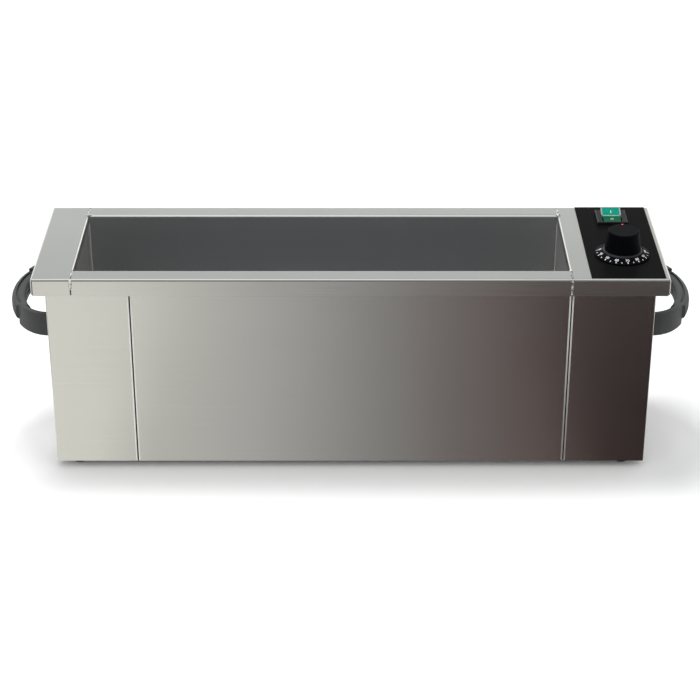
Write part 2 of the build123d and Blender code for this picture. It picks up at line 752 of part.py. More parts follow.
blade_low = switch_bottom - 8
wire_radius = 1.4
wire_bend = 8.0
pin_tip = element_end + pin_length
wire_routes = {
    "switch_supply_wire": [
        (312, -54, block_top),
        (312, -54, 150),
        (318, 30, 180),
        (switch_x, switch_y - 12, 205),
        (switch_x, switch_y - 12, blade_low),
    ],
    "thermostat_wire": [
        (326, -46, block_top),
        (326, -46, 150),
        (336, -48, 215),
        (336, -48, thermostat_low),
    ],
    "front_element_wire": [
        (358, -48, thermostat_low),
        (358, -48, 150),
        (345, -element_rows[1], element_z),
        (pin_tip, -element_rows[1], element_z),
    ],
    "rear_element_wire": [
        (reset_x + 6, reset_y + 4, limiter_top),
        (reset_x + 6, reset_y + 4, 78),
        (reset_x + 2, element_rows[1], element_z),
        (pin_tip, element_rows[1], element_z),
    ],
    "switch_return_wire": [
        (349, -54, block_top),
        (349, -54, 55),
        (370, 0, 95),
        (370, 60, 170),
        (switch_x, switch_y + 12, 205),
        (switch_x, switch_y + 12, blade_low),
    ],
}
for label, route in wire_routes.items():
    with BuildPart() as wiring:
        wire(route, wire_radius, wire_bend)
    finish(wiring, label)

gland_bore = 4.0
with BuildPart() as cable_gland:
    hexagon((gland_x, body_y, gland_z), (0, 1, 0), 20.0, 5.0, gland_bore)
    rod((gland_x, body_y + 5, gland_z), (0, 1, 0), 8.5, 7)
    fillet(edges().group_by(Axis.Y)[-1], 2.5)
    rod((gland_x, body_y, gland_z), (0, -1, 0), gland_thread_radius, 12)
    rod((gland_x, body_y - 12, gland_z), (0, 1, 0), gland_bore, 30, mode=Mode.SUBTRACT)
finish(cable_gland, "cable_gland")

with BuildPart() as gland_nut:
    hexagon((gland_x, body_y - sheet, gland_z), (0, -1, 0), 22.0, 4.0, gland_thread_radius)
finish(gland_nut, "gland_nut")
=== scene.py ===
import json
import math
import bpy
from mathutils import Matrix, Vector

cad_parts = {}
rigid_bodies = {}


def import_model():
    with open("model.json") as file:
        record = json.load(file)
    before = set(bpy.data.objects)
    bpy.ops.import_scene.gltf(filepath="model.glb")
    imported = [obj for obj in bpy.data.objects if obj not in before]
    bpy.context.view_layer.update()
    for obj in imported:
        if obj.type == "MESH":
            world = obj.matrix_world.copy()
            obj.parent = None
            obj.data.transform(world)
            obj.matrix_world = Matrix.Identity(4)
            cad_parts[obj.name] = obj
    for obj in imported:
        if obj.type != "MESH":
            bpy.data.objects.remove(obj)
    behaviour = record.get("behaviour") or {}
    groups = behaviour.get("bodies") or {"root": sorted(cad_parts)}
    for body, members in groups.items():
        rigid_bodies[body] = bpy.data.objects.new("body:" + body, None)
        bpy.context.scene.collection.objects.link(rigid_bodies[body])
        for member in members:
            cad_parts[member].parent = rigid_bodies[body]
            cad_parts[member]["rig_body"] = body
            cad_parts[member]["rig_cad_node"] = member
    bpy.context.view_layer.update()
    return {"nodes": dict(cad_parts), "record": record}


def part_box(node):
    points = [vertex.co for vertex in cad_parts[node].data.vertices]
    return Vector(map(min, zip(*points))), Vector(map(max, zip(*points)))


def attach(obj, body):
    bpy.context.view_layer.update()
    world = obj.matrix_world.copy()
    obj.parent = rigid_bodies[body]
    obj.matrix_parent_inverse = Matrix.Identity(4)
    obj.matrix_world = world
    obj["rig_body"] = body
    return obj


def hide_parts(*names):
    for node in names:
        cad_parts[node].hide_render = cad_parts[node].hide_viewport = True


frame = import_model()
nodes = frame["nodes"]
mm = 0.001
print("frame loaded:", len(nodes), "nodes")


# angles in degrees, the merge distance in metres
dressing = {
    "smoothAngle": 30,
    "bevelAngle": 50,
    "bevelSegments": 2,
    "mergeDistance": 0.000004,
    "flatWeight": 100,
}


# small helpers
def deselectAll():
    if bpy.context.object and bpy.context.object.mode != "OBJECT":
        bpy.ops.object.mode_set(mode="OBJECT")
    bpy.ops.object.select_all(action="DESELECT")


def onlyActive(piece):
    deselectAll()
    piece.select_set(True)
    bpy.context.view_layer.objects.active = piece


def applyPlace(piece):
    onlyActive(piece)
    bpy.ops.object.transform_apply(location=True, rotation=True, scale=True)


def applyModifiers(piece):
    onlyActive(piece)
    for modifier in list(piece.modifiers):
        bpy.ops.object.modifier_apply(modifier=modifier.name)


def finished(piece, name, body, material, smoothAngle=dressing["smoothAngle"]):
    # names the piece, gives it its finish and hangs it on its CAD body
    piece.name = name
    piece.data.name = name
    piece.data.materials.clear()
    piece.data.materials.append(material)
    applyPlace(piece)
    bpy.ops.object.shade_smooth_by_angle(angle=math.radians(smoothAngle))
    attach(piece, body)
    return piece


def joined(pieces):
    deselectAll()
    for piece in pieces:
        piece.select_set(True)
    bpy.context.view_layer.objects.active = pieces[0]
    if len(pieces) > 1:
        bpy.ops.object.join()
    return bpy.context.object


def flattenFaces(piece):
    # large flat faces keep flat normals beside their rounded edges
    flatFaces = piece.modifiers.new("flatFaces", "WEIGHTED_NORMAL")
    flatFaces.weight = dressing["flatWeight"]
    flatFaces.keep_sharp = True
    applyModifiers(piece)


def softened(piece, width, segments=dressing["bevelSegments"]):
    bevel = piece.modifiers.new("softEdges", "BEVEL")
    bevel.width = width
    bevel.segments = segments
    applyModifiers(piece)
    return piece


def roundedBar(size, rounding):
    # bar at the origin, the pattern for its copies
    deselectAll()
    bpy.ops.mesh.primitive_cube_add(size=1)
    bar = bpy.context.object
    bar.scale = size
    applyPlace(bar)
    return softened(bar, rounding)


def copiedTo(pattern, place, turn=(0, 0, 0)):
    onlyActive(pattern)
    bpy.ops.object.duplicate()
    piece = bpy.context.object
    piece.location = place
    piece.rotation_euler = turn
    return piece


def removed(piece):
    onlyActive(piece)
    bpy.ops.object.delete()


def cutFrom(piece, cutter):
    # real recess: takes the cutter's shape out of the piece, then shades it again
    cut = piece.modifiers.new("cut", "BOOLEAN")
    cut.operation = "DIFFERENCE"
    cut.solver = "EXACT"
    cut.use_self = True
    cut.object = cutter
    applyModifiers(piece)
    onlyActive(piece)
    bpy.ops.object.shade_smooth_by_angle(angle=math.radians(dressing["smoothAngle"]))
    flattenFaces(piece)


def dressedCopy(nodeName, body, material, bevelWidth=0.0):
    # merged copy of a CAD node, with softened edges, that stands for the node
    deselectAll()
    source = nodes[nodeName]
    source.select_set(True)
    bpy.context.view_layer.objects.active = source
    bpy.ops.object.duplicate()
    piece = bpy.context.object
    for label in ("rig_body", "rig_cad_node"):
        del piece[label]
    piece.parent = None
    onlyActive(piece)
    bpy.ops.object.mode_set(mode="EDIT")
    bpy.ops.mesh.select_all(action="SELECT")
    bpy.ops.mesh.customdata_custom_splitnormals_clear()
    bpy.ops.mesh.remove_doubles(threshold=dressing["mergeDistance"])
    bpy.ops.object.mode_set(mode="OBJECT")
    if bevelWidth:
        bevel = piece.modifiers.new("softEdges", "BEVEL")
        bevel.width = bevelWidth
        bevel.segments = dressing["bevelSegments"]
        bevel.limit_method = "ANGLE"
        bevel.angle_limit = math.radians(dressing["bevelAngle"])
        bevel.use_clamp_overlap = True
        applyModifiers(piece)
    finished(piece, nodeName + "_skin", body, material)
    flattenFaces(piece)
    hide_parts(nodeName)
    return piece


# material helpers
def newMaterial(name):
    material = bpy.data.materials.new(name)
    material.use_nodes = True
    return material, material.node_tree, material.node_tree.nodes["Principled BSDF"]


def setShader(shader, values):
    for label, value in values.items():
        shader.inputs[label].default_value = value


def addNode(tree, kind, inputs=None, **settings):
    node = tree.nodes.new(kind)
    for label, value in settings.items():
        setattr(node, label, value)
    for label, value in (inputs or {}).items():
        node.inputs[label].default_value = value
    return node


def objectNoise(tree, scale, detail=4.0, roughness=0.6, distortion=0.0):
    # noise in object coordinates, scale is cycles per metre along each axis
    coordinates = addNode(tree, "ShaderNodeTexCoord")
    mapping = addNode(tree, "ShaderNodeMapping", {"Scale": scale})
    noise = addNode(
        tree,
        "ShaderNodeTexNoise",
        {"Scale": 1.0, "Detail": detail, "Roughness": roughness, "Distortion": distortion},
    )
    tree.links.new(coordinates.outputs["Object"], mapping.inputs["Vector"])
    tree.links.new(mapping.outputs["Vector"], noise.inputs["Vector"])
    return noise.outputs["Fac"]


def mapRange(tree, source, low, high, fromLow=0.3, fromHigh=0.7):
    ranged = addNode(
        tree,
        "ShaderNodeMapRange",
        {"From Min": fromLow, "From Max": fromHigh, "To Min": low, "To Max": high},
    )
    tree.links.new(source, ranged.inputs["Value"])
    return ranged.outputs["Result"]


def mixColours(tree, factor, colourA, colourB):
    mix = addNode(tree, "ShaderNodeMix", data_type="RGBA")
    for socket, colour in ((mix.inputs[6], colourA), (mix.inputs[7], colourB)):
        if isinstance(colour, bpy.types.NodeSocket):
            tree.links.new(colour, socket)
        else:
            socket.default_value = (*colour, 1)
    tree.links.new(factor, mix.inputs[0])
    return mix.outputs[2]


def mixValues(tree, factor, valueA, valueB):
    mix = addNode(tree, "ShaderNodeMix", data_type="FLOAT")
    for socket, value in ((mix.inputs[2], valueA), (mix.inputs[3], valueB)):
        if isinstance(value, bpy.types.NodeSocket):
            tree.links.new(value, socket)
        else:
            socket.default_value = value
    tree.links.new(factor, mix.inputs[0])
    return mix.outputs[0]


def addBump(tree, shader, height, strength, distance):
    bump = addNode(tree, "ShaderNodeBump", {"Strength": strength, "Distance": distance})
    tree.links.new(height, bump.inputs["Height"])
    tree.links.new(bump.outputs["Normal"], shader.inputs["Normal"])


# brushed stainless steel, the grain runs along the sheet
steelLook = {
    "fineGrain": (6, 1500, 1500),
    "fineGrainAcross": (1500, 6, 1500),
    "coarseGrain": (4, 620, 620),
    "coarseGrainAcross": (620, 4, 620),
    "bumpStrength": 0.05,
    "bumpDistance": 0.00004,
    "frontPolish": 0.05,
    "foldShadeStart": (0.60, 0.86),
    "foldShadeEnd": (0.990, 0.999),
    "foldShadeTint": (0.17, 0.17, 0.165),
    "uprightRange": {"X": (0.25, 0.5), "Y": (0.86, 0.985)},
    "endFacing": 0.7,
    "endWallRange": (0.6, 0.8),
    "tankHalfWidth": (0.0852, 0.0862),
    "grainMix": (0.35, 0.65),
    "satinSpread": (-0.02, 0.03),
    "cloudScale": (7, 7, 7),
    "cloudColour": (0.2, 0.2, 0.19),
    "innerContrast": 0.5,
}


def axisSize(tree, coordinate, axis):
    # size of a place or a direction along one axis, either way
    coordinates = addNode(tree, "ShaderNodeTexCoord")
    split = addNode(tree, "ShaderNodeSeparateXYZ")
    tree.links.new(coordinates.outputs[coordinate], split.inputs["Vector"])
    size = addNode(tree, "ShaderNodeMath", operation="ABSOLUTE")
    tree.links.new(split.outputs[axis], size.inputs[0])
    return size.outputs["Value"]


def facingSize(tree, axis):
    # how squarely a face looks along one axis
    return axisSize(tree, "Normal", axis)


def sheetGrain(tree, along, across):
    # the end faces of the sheet carry the grain across instead of along
    limit = {1: steelLook["endFacing"]}
    facing = addNode(tree, "ShaderNodeMath", limit, operation="GREATER_THAN")
    tree.links.new(facingSize(tree, "X"), facing.inputs[0])
    first = objectNoise(tree, along, detail=5.0, roughness=0.7)
    second = objectNoise(tree, across, detail=5.0, roughness=0.7)
    return mixValues(tree, facing.outputs["Value"], first, second)


def uprightFaces(tree):
    # one on the upright faces and the end folds, which take the brighter tint: painted light,
    # lighter than the top of the same sheet
    masks = []
    for axis, (low, high) in steelLook["uprightRange"].items():
        masks.append(mapRange(tree, facingSize(tree, axis), 0, 1, low, high))
    larger = addNode(tree, "ShaderNodeMath", operation="MAXIMUM")
    for socket, mask in zip(larger.inputs, masks):
        tree.links.new(mask, socket)
    return larger.outputs["Value"]


def insideTank(tree):
    # one between the long walls of the tank, zero on the aprons outside them
    return mapRange(tree, axisSize(tree, "Object", "Y"), 1, 0, *steelLook["tankHalfWidth"])


def endWalls(tree):
    # one on the tank's two end walls, which take a painted lighter tint
    return mapRange(tree, facingSize(tree, "X"), 0, 1, *steelLook["endWallRange"])


def paintedFoldShade(tree):
    # one on the lower part of a long fold, where a painted shade darkens the bend
    size = facingSize(tree, "Y")
    start = mapRange(tree, size, 0, 1, *steelLook["foldShadeStart"])
    finish = mapRange(tree, size, 1, 0, *steelLook["foldShadeEnd"])
    both = addNode(tree, "ShaderNodeMath", operation="MULTIPLY")
    tree.links.new(start, both.inputs[0])
    tree.links.new(finish, both.inputs[1])
    return both.outputs["Value"]


def streaked(tree, grain, tint, contrast):
    darker = tuple(c * (1 - contrast) for c in tint)
    lighter = tuple(min(1, c * (1 + contrast)) for c in tint)
    return mixColours(tree, mapRange(tree, grain, 0, 1), darker, lighter)


def brushedSteel(name, tint, roughness, contrast=0.035, mottle=0.03, upright=None, inner=None):
    # upright is the painted brighter tint of the upright faces, inner is the look of the tank's
    # inside with its painted shade and lighter end walls
    material, tree, shader = newMaterial(name)
    setShader(shader, {"Metallic": 1.0, "Specular IOR Level": 0.5})
    fine = sheetGrain(tree, steelLook["fineGrain"], steelLook["fineGrainAcross"])
    coarse = sheetGrain(tree, steelLook["coarseGrain"], steelLook["coarseGrainAcross"])
    grain = mixValues(tree, mapRange(tree, coarse, *steelLook["grainMix"]), fine, coarse)
    facing = uprightFaces(tree)
    colour = streaked(tree, grain, tint, contrast)
    # painted light: upright faces and end folds take the brighter upright tint, the top of the
    # sheet stays darker
    if upright:
        colour = mixColours(tree, facing, colour, streaked(tree, grain, upright, contrast))
        # painted shade: a dark tint on the lower part of each long fold
        colour = mixColours(tree, paintedFoldShade(tree), colour, steelLook["foldShadeTint"])
    clouds = mapRange(tree, objectNoise(tree, steelLook["cloudScale"], detail=2.0), 0, mottle)
    colour = mixColours(tree, clouds, colour, steelLook["cloudColour"])
    satin = mapRange(tree, grain, *(roughness + spread for spread in steelLook["satinSpread"]))
    polish = addNode(tree, "ShaderNodeMath", {1: steelLook["frontPolish"]}, operation="SUBTRACT")
    tree.links.new(satin, polish.inputs[0])
    rough = mixValues(tree, facing, satin, polish.outputs["Value"])
    if inner:
        inside = insideTank(tree)
        walls = streaked(tree, grain, inner["tint"], steelLook["innerContrast"] * contrast)
        drawMarks = objectNoise(tree, inner["drawMarks"], detail=3.0)
        # painted light: the two end walls take a lighter tint
        endWall = streaked(tree, drawMarks, inner["endWallLitTint"], inner["endContrast"])
        walls = mixColours(tree, endWalls(tree), walls, endWall)
        # painted shade: the tank's inside takes a darker tint than the upright faces outside it
        colour = mixColours(tree, inside, colour, walls)
        rough = mixValues(tree, inside, rough, inner["roughness"])
    tree.links.new(colour, shader.inputs["Base Color"])
    tree.links.new(rough, shader.inputs["Roughness"])
    addBump(tree, shader, grain, steelLook["bumpStrength"], steelLook["bumpDistance"])
    return material


# the tops of the rim and tank take the darker rimTint, their upright faces the lighter
# panelTint: painted light and shade on one steel
panelTint = (0.62, 0.615, 0.585)
rimTint = (0.402, 0.407, 0.390)
# the tank's inside: its tint is painted shade, its end wall tint painted light; the draw marks
# and roughness are its finish
tankInside = {
    "tint": (0.495, 0.500, 0.505),
    "endWallLitTint": (0.80, 0.78, 0.76),
    "endContrast": 0.16,
    "drawMarks": (1, 240, 3),
    "roughness": 0.34,
}
panelSteel = brushedSteel("panelSteel", panelTint, 0.29)
rimSteel = brushedSteel("rimSteel", rimTint, 0.33, mottle=0.08, upright=panelTint)
tankSteel = brushedSteel(
    "tankSteel", rimTint, 0.33, mottle=0.08, upright=panelTint, inner=tankInside
)
# painted highlight: near-white steel for the strips beside the upright joints
paintedHighlightSteel = brushedSteel("paintedHighlightSteel", (0.92, 0.91, 0.88), 0.66, contrast=0.10)
baseSteel = brushedSteel("baseSteel", (0.52, 0.52, 0.50), 0.40)
print("steel ready")


# moulded plastics, rubber and small metals
plasticLook = {"pitDepth": 0.00005, "cloudScale": (25, 25, 25), "satinSpread": (-0.04, 0.06)}
metalLook = {"markScale": (400, 400, 400), "satinSpread": (-0.05, 0.08)}


def mouldedPlastic(
    name, colour, roughness, textureScale=2500, bump=0.12, variation=0.12, extra=None
):
    material, tree, shader = newMaterial(name)
    setShader(shader, {"Metallic": 0.0, **(extra or {})})
    pits = objectNoise(tree, (textureScale,) * 3, detail=3.0)
    clouds = objectNoise(tree, plasticLook["cloudScale"], detail=2.0)
    darker = tuple(c * (1 - variation) for c in colour)
    lighter = tuple(min(1, c * (1 + variation)) for c in colour)
    shade = mixColours(tree, mapRange(tree, clouds, 0, 1), darker, lighter)
    tree.links.new(shade, shader.inputs["Base Color"])
    rough = mapRange(tree, pits, *(roughness + spread for spread in plasticLook["satinSpread"]))
    tree.links.new(rough, shader.inputs["Roughness"])
    addBump(tree, shader, pits, bump, plasticLook["pitDepth"])
    return material


def plainMetal(name, colour, roughness, wear=0.1):
    material, tree, shader = newMaterial(name)
    setShader(shader, {"Metallic": 1.0})
    marks = objectNoise(tree, metalLook["markScale"], detail=4.0)
    darker = tuple(c * (1 - wear) for c in colour)
    shade = mixColours(tree, mapRange(tree, marks, 0, 1), darker, colour)
    tree.links.new(shade, shader.inputs["Base Color"])
    rough = mapRange(tree, marks, *(roughness + spread for spread in metalLook["satinSpread"]))
    tree.links.new(rough, shader.inputs["Roughness"])
    return material


glossLevel = "Specular IOR Level"
handleBlack = (0.042, 0.044, 0.043)
handlePlastic = mouldedPlastic(
    "handlePlastic", handleBlack, 0.54, bump=0.25, extra={glossLevel: 0.25}
)
knobBlack = (0.0016, 0.0019, 0.0030)
knobPlastic = mouldedPlastic("knobPlastic", knobBlack, 0.5, bump=0.10, extra={glossLevel: 0.022})
labelFilm = mouldedPlastic(
    "labelFilm",
    (0.0056, 0.0056, 0.0058),
    0.30,
    textureScale=900,
    bump=0.03,
    variation=0.05,
    extra={glossLevel: 0.004},
)
switchBlack = mouldedPlastic(
    "switchBlack", (0.008, 0.008, 0.008), 0.38, bump=0.08, extra={glossLevel: 0.12}
)
# painted highlight: a lighter black than the knob's own, for the flare ring
flareLitBlack = (0.0075, 0.0080, 0.0105)
knobFlareLitPlastic = mouldedPlastic(
    "knobFlareLitPlastic", flareLitBlack, 0.42, bump=0.05, extra={glossLevel: 0.2}
)
footRubber = mouldedPlastic("footRubber", (0.022, 0.022, 0.022), 0.75, bump=0.3)
# painted shade: near-black for the strips that darken the upright joints
jointShadeBlack = mouldedPlastic("jointShadeBlack", (0.012, 0.012, 0.012), 0.75, bump=0.2)
whitePrint = mouldedPlastic("whitePrint", (0.78, 0.78, 0.76), 0.45, bump=0.02, variation=0.03)
redPrint = mouldedPlastic("redPrint", (0.72, 0.035, 0.03), 0.35, bump=0.02, variation=0.05)
limiterPlastic = mouldedPlastic("limiterPlastic", (0.05, 0.05, 0.05), 0.45)
wireBlack = mouldedPlastic("wireBlack", (0.02, 0.02, 0.02), 0.5)
wireWhite = mouldedPlastic("wireWhite", (0.72, 0.72, 0.70), 0.5)
mineralWool = mouldedPlastic(
    "mineralWool", (0.62, 0.58, 0.46), 0.95, textureScale=600, bump=0.9
)
brightScrew = plainMetal("brightScrew", (0.72, 0.72, 0.70), 0.22)
zincSteel = plainMetal("zincSteel", (0.55, 0.55, 0.54), 0.38)
brassMetal = plainMetal("brassMetal", (0.75, 0.56, 0.27), 0.3)
copperMetal = plainMetal("copperMetal", (0.80, 0.45, 0.28), 0.3)
elementSheath = plainMetal("elementSheath", (0.16, 0.17, 0.15), 0.55, wear=0.3)


clearLook = {
    "shader": {"Roughness": 0.3, "Transmission Weight": 0.2, "IOR": 1.49, "Coat Weight": 0.3},
    "colours": ((0.306, 0.323, 0.3145), (0.36, 0.38, 0.37)),
    "cloudScale": (300, 300, 300),
}
greenLook = {
    "shader": {
        "Roughness": 0.28,
        "Transmission Weight": 0.1,
        "Coat Weight": 0.0,
        glossLevel: 0.012,
    },
    # painted light and shade: a lighter green for the raised rear half, a darker one for the
    # pressed front half
    "rear": ((0.0, 0.17, 0.115), (0.006, 0.29, 0.205)),
    "front": (0.0, 0.088, 0.038),
    "blend": 0.4 * mm,
    "facetScale": (500, 900, 500),
}


def clearPlastic():
    material, tree, shader = newMaterial("switchClear")
    setShader(shader, clearLook["shader"])
    clouds = objectNoise(tree, clearLook["cloudScale"], detail=2.0)
    shade = mixColours(tree, mapRange(tree, clouds, 0, 1), *clearLook["colours"])
    tree.links.new(shade, shader.inputs["Base Color"])
    return material


def rockerGreen():
    # painted light and shade: the raised rear half takes a lighter green than the pressed front
    # half
    material, tree, shader = newMaterial("switchGreen")
    setShader(shader, greenLook["shader"])
    coordinates = addNode(tree, "ShaderNodeTexCoord")
    split = addNode(tree, "ShaderNodeSeparateXYZ")
    tree.links.new(coordinates.outputs["Object"], split.inputs["Vector"])
    middle = sum(corner.y for corner in map(Vector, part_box("switch_rocker"))) / 2
    blend = greenLook["blend"]
    rear = mapRange(tree, split.outputs["Y"], 0, 1, middle - blend, middle + blend)
    facets = objectNoise(tree, greenLook["facetScale"], detail=2.0)
    lit = mixColours(tree, mapRange(tree, facets, 0, 1), *greenLook["rear"])
    colour = mixColours(tree, rear, greenLook["front"], lit)
    tree.links.new(colour, shader.inputs["Base Color"])
    return material


switchGreen = rockerGreen()
switchClear = clearPlastic()
print("plastics ready")


weldLook = {
    "rippleScale": (700, 700, 700),
    "pitScale": (330, 330, 330),
    "pitRange": (0.50, 0.56),
    "metal": ((0.50, 0.49, 0.47), (0.86, 0.86, 0.84)),
    "darkMetal": (0.06, 0.05, 0.045),
    "roughness": (0.18, 0.4),
    "bumpStrength": 0.4,
    "bumpDistance": 0.0001,
}


def weldMetal():
    # fused metal: bright ripples with dark scorched pits
    material, tree, shader = newMaterial("weldMetal")
    setShader(shader, {"Metallic": 1.0})
    ripples = objectNoise(tree, weldLook["rippleScale"], detail=3.0)
    pits = objectNoise(tree, weldLook["pitScale"], detail=4.0, distortion=0.6)
    metal = mixColours(tree, mapRange(tree, ripples, 0, 1), *weldLook["metal"])
    scorched = mapRange(tree, pits, 0, 1, *weldLook["pitRange"])
    colour = mixColours(tree, scorched, metal, weldLook["darkMetal"])
    tree.links.new(colour, shader.inputs["Base Color"])
    tree.links.new(mapRange(tree, ripples, *weldLook["roughness"]), shader.inputs["Roughness"])
    addBump(tree, shader, ripples, weldLook["bumpStrength"], weldLook["bumpDistance"])
    return material


roundAngle = 60  # beads, ribs and strips stay smooth over wider angles
weldSteel = weldMetal()
dressedWeld = plainMetal("dressedWeld", (0.86, 0.82, 0.79), 0.36, wear=0.12)
# dark metal for the piece at the back of the open seam
darkSlitMetal = plainMetal("darkSlitMetal", (0.10, 0.085, 0.075), 0.55, wear=0.5)
print("weld metals ready")

# CAD nodes that show, each as a softened copy
skins = {
    "tank": ("brushed_stainless", tankSteel, 0.0),
    "left_rim_plate": ("brushed_stainless", rimSteel, 0.0),
    "right_rim_plate": ("brushed_stainless", rimSteel, 0.0),
    "left_end_casing": ("brushed_stainless", panelSteel, 0.0),
    "right_end_casing": ("brushed_stainless", panelSteel, 0.0),
    "front_panel": ("brushed_stainless", panelSteel, 0.0),
    "rear_panel": ("brushed_stainless", panelSteel, 0.0),
    "base_plate": ("plain_stainless", baseSteel, 0.0),
    "control_label": ("label_film", labelFilm, 0.0),
    "switch_bezel": ("switch_black", switchBlack, 0.0),
    "left_handle": ("handle_plastic", handlePlastic, 0.0008),
    "right_handle": ("handle_plastic", handlePlastic, 0.0008),
    "feet": ("foot_rubber", footRubber, 0.0006),
    "base_screws": ("bright_fasteners", brightScrew, 0.0),
    "cable_gland": ("limiter_plastic", limiterPlastic, 0.0004),
}
dressed = {}
for nodeName, (slot, material, bevelWidth) in skins.items():
    dressed[nodeName] = dressedCopy(nodeName, "cabinet", material, bevelWidth)
dressedCopy("thermostat_knob", "knob", knobPlastic, 0.0003)
dressedCopy("knob_index_dot", "knob", redPrint)
dressedCopy("switch_rocker", "rocker", switchGreen, 0.0003)
dressedCopy("rocker_frame", "rocker", switchClear, 0.0003)
print("skins ready")

innerFinish = {
    "plain_stainless": baseSteel,
    "bright_fasteners": brightScrew,
    "switch_black": switchBlack,
    "brass": brassMetal,
    "zinc_steel": zincSteel,
    "element_alloy": elementSheath,
    "copper_tube": copperMetal,
    "insulation": mineralWool,
    "limiter_plastic": limiterPlastic,
    "reset_red": redPrint,
    "wire_black": wireBlack,
    "wire_white": wireWhite,
}
slotOf = {part["node"]: part["material_slot"] for part in frame["record"]["subparts"]}
for nodeName, node in nodes.items():
    if node.hide_render:
        continue
    node.data.materials.clear()
    node.data.materials.append(innerFinish[slotOf[nodeName]])
print("inner nodes ready")

# dial: ticks and numerals printed on the knob's conical skirt
dial = {
    "ticks": 15,
    "firstAngle": -192.0,
    "stepAngle": 13.5,
    "firstNumber": 30,
    "numberStep": 10,
    "tickRadius": 32.2 * mm,
    "numberRadius": 28.9 * mm,
    "longTick": (1.0 * mm, 2.5 * mm, 0.12 * mm),
    "shortTick": (1.0 * mm, 1.7 * mm, 0.12 * mm),
    "numberSize": 5.2 * mm,
    "numberDepth": 0.06 * mm,
    "numberSpread": 0.02 * mm,
    "coneRun": 9.8 * mm,
    "coneRise": 4.6 * mm,
    "edgeHeight": 1.2 * mm,
    "rounding": 0.05 * mm,
}
knobLow, knobHigh = (Vector(corner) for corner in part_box("thermostat_knob"))
dialCentre = (knobLow + knobHigh) / 2
skirtRadius = (knobHigh.x - knobLow.x) / 2
coneTilt = math.atan2(dial["coneRise"], dial["coneRun"])


def onSkirt(radius, angle):
    # place and rotation of a mark on the cone, its top toward the knob's centre
    height = knobLow.z + dial["edgeHeight"] + (skirtRadius - radius) * math.tan(coneTilt)
    x = dialCentre.x + radius * math.cos(angle)
    y = dialCentre.y + radius * math.sin(angle)
    return (x, y, height), (coneTilt, 0, angle + math.pi / 2)


longTick = roundedBar(dial["longTick"], dial["rounding"])
shortTick = roundedBar(dial["shortTick"], dial["rounding"])
tickMarks = []
numerals = []
for step in range(dial["ticks"]):
    angle = math.radians(dial["firstAngle"] + step * dial["stepAngle"])
    numbered = step % 2 == 0
    tickPattern = longTick if numbered else shortTick
    tickMarks.append(copiedTo(tickPattern, *onSkirt(dial["tickRadius"], angle)))
    if numbered:
        place, turn = onSkirt(dial["numberRadius"], angle)
        deselectAll()
        bpy.ops.object.text_add(location=place, rotation=turn)
        numeral = bpy.context.object
        numeral.data.body = str(dial["firstNumber"] + step // 2 * dial["numberStep"])
        numeral.data.size = dial["numberSize"]
        numeral.data.extrude = dial["numberDepth"]
        numeral.data.offset = dial["numberSpread"]
        numeral.data.resolution_u = 3
        numeral.data.align_x = "CENTER"
        numeral.data.align_y = "CENTER"
        bpy.ops.object.convert(target="MESH")
        numerals.append(bpy.context.object)
removed(longTick)
removed(shortTick)
finished(joined(tickMarks), "dial_ticks", "knob", whitePrint)
finished(joined(numerals), "dial_numerals", "knob", whitePrint)

# flare where the knob's body runs into its skirt, in a lighter black than the knob's: a painted
# highlight ring
knobFlare = {
    "foot": 26.0 * mm,
    "top": 22.9 * mm,
    "rise": 3.0 * mm,
    "sink": 0.4 * mm,
    "rounding": 0.7 * mm,
    "sides": 96,
}
flareBase = onSkirt(knobFlare["foot"], 0)[0][2] - knobFlare["sink"]
deselectAll()
bpy.ops.mesh.primitive_cone_add(
    vertices=knobFlare["sides"],
    radius1=knobFlare["foot"],
    radius2=knobFlare["top"],
    depth=knobFlare["rise"],
    location=(dialCentre.x, dialCentre.y, flareBase + knobFlare["rise"] / 2),
)
flare = softened(bpy.context.object, knobFlare["rounding"], 3)
finished(flare, "knob_root_flare", "knob", knobFlareLitPlastic)
print("dial ready")

# marks on the rocker and the clear ridge at the edge of its raised half
rockerMarks = {
    "crest": (-0.45 * mm, 2.36 * mm),
    "rearSlope": math.radians(21.6),
    "barSize": (0.8 * mm, 4.2 * mm, 0.16 * mm),
    "barReach": 8.0 * mm,
    "ringRadius": 1.7 * mm,
    "ringThickness": 0.28 * mm,
    "ringReach": 9.0 * mm,
    "ringFlatness": 0.4,
    "ridgeSize": (23.0 * mm, 1.4 * mm, 0.5 * mm),
    "barRounding": 0.06 * mm,
    "ridgeRounding": 0.2 * mm,
}
jointsByName = {joint["name"]: joint for joint in frame["record"]["behaviour"]["joints"]}
rockerPivot = Vector(jointsByName["rocker_press"]["pos_m"])
crest = rockerPivot + Vector((0, *rockerMarks["crest"]))


def onRear(reach):
    slope = rockerMarks["rearSlope"]
    return crest + Vector((0, reach * math.cos(slope), reach * math.sin(slope)))


def rockerBar(name, reach, slot, material, size, rounding):
    bar = roundedBar(size, rounding)
    bar.location = onRear(reach)
    bar.rotation_euler = (rockerMarks["rearSlope"], 0, 0)
    return finished(bar, name, "rocker", material)


